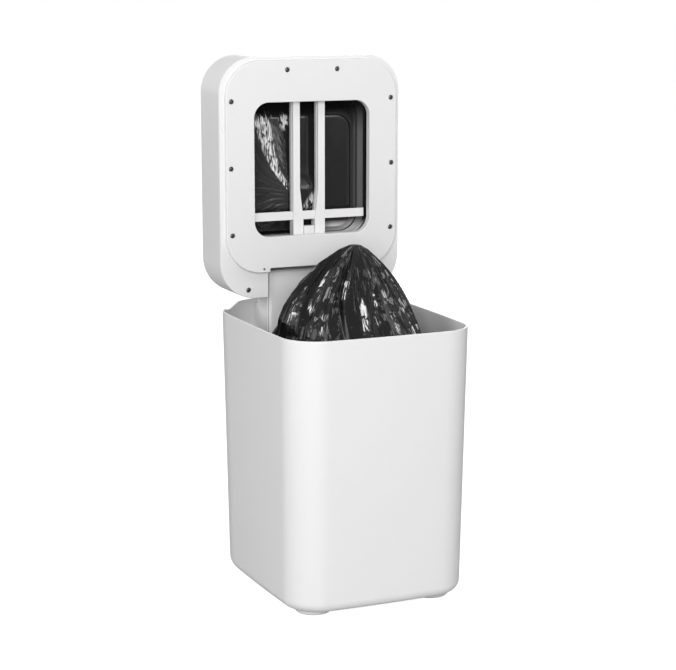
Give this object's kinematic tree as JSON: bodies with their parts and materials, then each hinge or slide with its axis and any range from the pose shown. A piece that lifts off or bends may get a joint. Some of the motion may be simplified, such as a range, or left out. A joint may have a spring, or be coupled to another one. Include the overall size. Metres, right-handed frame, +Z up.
{
  "type": "litter disposal pail",
  "caption": "Free-standing litter disposal pail with a hinged head that gathers and seals its film liner into a bag inside the bin.",
  "frame": {"origin": "centre of the pail's footprint, on the floor", "axes": "+X to the pail's right seen from the front, +Y to its back, +Z up"},
  "size_m": [0.24, 0.3167, 0.642],
  "materials": {
    "bin_white": "smooth white ABS, satin gloss",
    "head_white": "smooth white ABS, satin gloss",
    "plate_white": "fine matt white moulding",
    "column_white": "fine matt white moulding",
    "bar_white": "white acetal, low gloss",
    "foot_white": "off-white soft rubber",
    "inner_plastic": "matt moulded plastic",
    "seat_grey": "matt grey moulding",
    "block_white": "heat-proof white moulding",
    "black_plastic": "black moulding",
    "pad_black": "black silicone",
    "screw_dark": "dark zinc-nickel plate",
    "steel": "ground steel",
    "motor_can": "nickel-plated motor can",
    "heater": "resistance strip",
    "ring_dark": "dark grey moulding",
    "film": "thin black polyethylene film, glossy",
    "button_grey": "light grey, glossy",
    "board_green": "coated circuit board",
    "cell_blue": "sleeved cells",
    "lens_black": "smoked acrylic"
  },
  "bodies": {
    "bin": {"bin": "bin_white", "foot_front_left": "foot_white", "foot_front_right": "foot_white", "foot_back_left": "foot_white", "foot_back_right": "foot_white", "hinge_column": "column_white", "column_screws": "steel", "hinge_pin_left": "steel", "hinge_pin_right": "steel", "filled_bag": "film"},
    "head": {"head_shell": "head_white", "base_plate": "plate_white", "hinge_bracket_left": "inner_plastic", "hinge_bracket_right": "inner_plastic", "ring_seat": "seat_grey", "sealing_block": "block_white", "hinge_damper_left": "black_plastic", "hinge_damper_right": "black_plastic", "button_switch": "black_plastic", "charge_socket": "black_plastic", "plate_screws": "screw_dark", "guide_rod_upper": "steel", "guide_rod_lower": "steel", "cross_rod": "steel", "lid_pin": "steel", "cross_motor": "motor_can", "gather_motor": "motor_can", "lid_motor": "motor_can", "heating_strip": "heater", "refill_ring": "ring_dark", "film_pack": "film", "film_sleeve": "film", "control_board": "board_green", "battery_pack": "cell_blue", "sensor_lens": "lens_black"},
    "side_left": {"side_bar_left": "bar_white"},
    "side_right": {"side_bar_right": "bar_white"},
    "cross": {"cross_bar": "bar_white", "clamp_pad": "pad_black"},
    "screw": {"drive_screw": "steel"},
    "pinion": {"gather_pinion": "inner_plastic"},
    "waste_lid": {"waste_lid": "head_white"},
    "button": {"seal_button": "button_grey"}
  },
  "joints": [
    {"name": "head_hinge", "type": "hinge", "parent": "bin", "child": "head", "pos_m": [0, 0.1134, 0.3709], "axis": [1, 0, 0], "range_deg": [0, 90], "deforming": ["filled_bag"]},
    {"name": "side_bar_left_slide", "type": "slide", "parent": "head", "child": "side_left", "axis": [-1, 0, 0], "range_m": [0, 0.06]},
    {"name": "side_bar_right_slide", "type": "slide", "parent": "head", "child": "side_right", "axis": [1, 0, 0], "range_m": [0, 0.06]},
    {"name": "pinion_spin", "type": "hinge", "parent": "head", "child": "pinion", "pos_m": [0, 0.086, 0.616], "axis": [0, 0, 1], "range_deg": [-859.5, 0]},
    {"name": "cross_bar_slide", "type": "slide", "parent": "head", "child": "cross", "axis": [0, 0, 1], "range_m": [0, 0.148]},
    {"name": "screw_spin", "type": "hinge", "parent": "head", "child": "screw", "pos_m": [-0.0961, 0.086, 0.5], "axis": [0, 0, 1], "range_deg": [0, 2664.1]},
    {"name": "waste_lid_hinge", "type": "hinge", "parent": "head", "child": "waste_lid", "pos_m": [0, 0.1494, 0.4291], "axis": [-1, 0, 0], "range_deg": [0, 85]},
    {"name": "seal_button_press", "type": "slide", "parent": "head", "child": "button", "axis": [0, -1, 0], "range_m": [0, 0.001], "stiffness_N_per_m": 600, "springref_m": -0.0005}
  ],
  "couplings": [
    {"joint": "side_bar_right_slide", "follows": "side_bar_left_slide", "ratio": 1},
    {"joint": "pinion_spin", "follows": "side_bar_left_slide", "rad_per_m": -250},
    {"joint": "screw_spin", "follows": "cross_bar_slide", "rad_per_m": 314.16}
  ]
}
